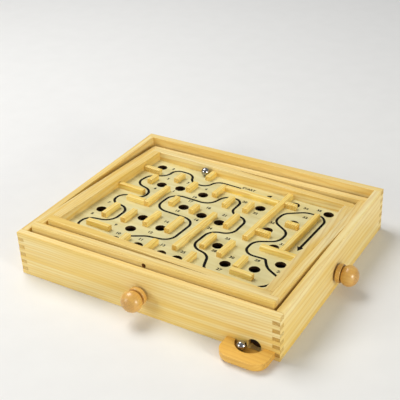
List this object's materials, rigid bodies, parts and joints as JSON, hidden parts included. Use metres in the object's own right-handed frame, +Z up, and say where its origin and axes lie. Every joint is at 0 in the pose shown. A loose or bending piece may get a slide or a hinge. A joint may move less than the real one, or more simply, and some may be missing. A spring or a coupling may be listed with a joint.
{
  "type": "tilt maze game",
  "caption": "Wooden tilt maze game: finger-jointed casing, nested rocking frames, two knobs on string shafts, holed maze board and ball catch tray.",
  "frame": {"origin": "centre of the casing's underside, where the mount stand_centre is", "axes": "+X along the long front to the right, +Y to the back, away from the catch tray, +Z up"},
  "size_m": [0.2967, 0.253, 0.0555],
  "materials": {
    "casing_wood": "clear satin lacquer on pine",
    "floor_wood": "bare plywood",
    "frame_wood": "clear satin lacquer on pine",
    "tray_wood": "clear satin lacquer on pine",
    "board_wood": "pale plywood, satin",
    "strip_wood": "clear satin lacquer on pine",
    "knob_wood": "polished turned beech",
    "ball_steel": "polished steel",
    "hardware_steel": "drawn steel",
    "string_cord": "braided nylon"
  },
  "bodies": {
    "casing": {"front_panel": "casing_wood", "back_panel": "casing_wood", "left_panel": "casing_wood", "right_panel": "casing_wood", "sloping_floor": "floor_wood", "left_floor_cleat": "floor_wood", "right_floor_cleat": "floor_wood", "catch_tray": "casing_wood", "frame_pivot_pins": "hardware_steel"},
    "outer_frame": {"outer_front_rail": "frame_wood", "outer_back_rail": "frame_wood", "outer_left_rail": "frame_wood", "outer_right_rail": "frame_wood", "tray_pivot_pins": "hardware_steel", "frame_string": "string_cord", "frame_string_spring": "hardware_steel", "frame_string_tacks": "hardware_steel"},
    "maze_tray": {"tray_front_rail": "tray_wood", "tray_back_rail": "tray_wood", "tray_left_rail": "tray_wood", "tray_right_rail": "tray_wood", "maze_board": "board_wood", "maze_strip_01": "strip_wood", "maze_strip_02": "strip_wood", "maze_strip_03": "strip_wood", "maze_strip_04": "strip_wood", "maze_strip_05": "strip_wood", "maze_strip_06": "strip_wood", "maze_strip_07": "strip_wood", "maze_strip_08": "strip_wood", "maze_strip_09": "strip_wood", "maze_strip_10": "strip_wood", "maze_strip_11": "strip_wood", "maze_strip_12": "strip_wood", "maze_strip_13": "strip_wood", "maze_strip_14": "strip_wood", "maze_strip_15": "strip_wood", "maze_strip_16": "strip_wood", "maze_strip_17": "strip_wood", "maze_strip_18": "strip_wood", "maze_strip_19": "strip_wood", "maze_strip_20": "strip_wood", "middle_maze_blocks": "strip_wood", "short_maze_blocks": "strip_wood", "tray_string": "string_cord", "tray_string_spring": "hardware_steel", "tray_string_tacks": "hardware_steel"},
    "side_drive": {"side_shaft": "hardware_steel", "side_knob": "knob_wood", "side_knob_collar": "knob_wood", "side_shaft_retainer": "hardware_steel", "side_string_winding": "string_cord"},
    "front_drive": {"front_shaft": "hardware_steel", "front_knob": "knob_wood", "front_knob_collar": "knob_wood", "front_shaft_retainer": "hardware_steel", "front_string_winding": "string_cord"},
    "loose_ball": {"maze_ball": "ball_steel"},
    "caught_ball": {"caught_ball": "ball_steel"}
  },
  "joints": [
    {"name": "outer_tilt", "type": "hinge", "parent": "casing", "child": "outer_frame", "pos_m": [0, 0, 0.0393], "axis": [1, 0, 0], "range_deg": [-0.67, 8.53]},
    {"name": "tray_tilt", "type": "hinge", "parent": "outer_frame", "child": "maze_tray", "pos_m": [0, 0, 0.0393], "axis": [0, 0.9976, -0.0685], "range_deg": [-6.76, 2.44]},
    {"name": "side_knob_turn", "type": "hinge", "parent": "casing", "child": "side_drive", "pos_m": [0.1375, 0, 0.0183], "axis": [1, 0, 0], "range_deg": [-8.1, 97.7]},
    {"name": "front_knob_turn", "type": "hinge", "parent": "casing", "child": "front_drive", "pos_m": [0, -0.115, 0.0223], "axis": [0, 1, 0], "range_deg": [-66.1, 24.2]},
    {"name": "maze_ball_lift", "type": "slide", "parent": "maze_tray", "child": "loose_ball", "axis": [0.0377, 0.0685, 0.9969], "range_m": [0, 0.02]},
    {"name": "caught_ball_lift", "type": "slide", "parent": "casing", "child": "caught_ball", "axis": [0, 0, 1], "range_m": [0, 0.02]}
  ],
  "couplings": [
    {"joint": "side_knob_turn", "follows": "outer_tilt", "ratio": 11.4},
    {"joint": "front_knob_turn", "follows": "tray_tilt", "ratio": 9.7}
  ]
}
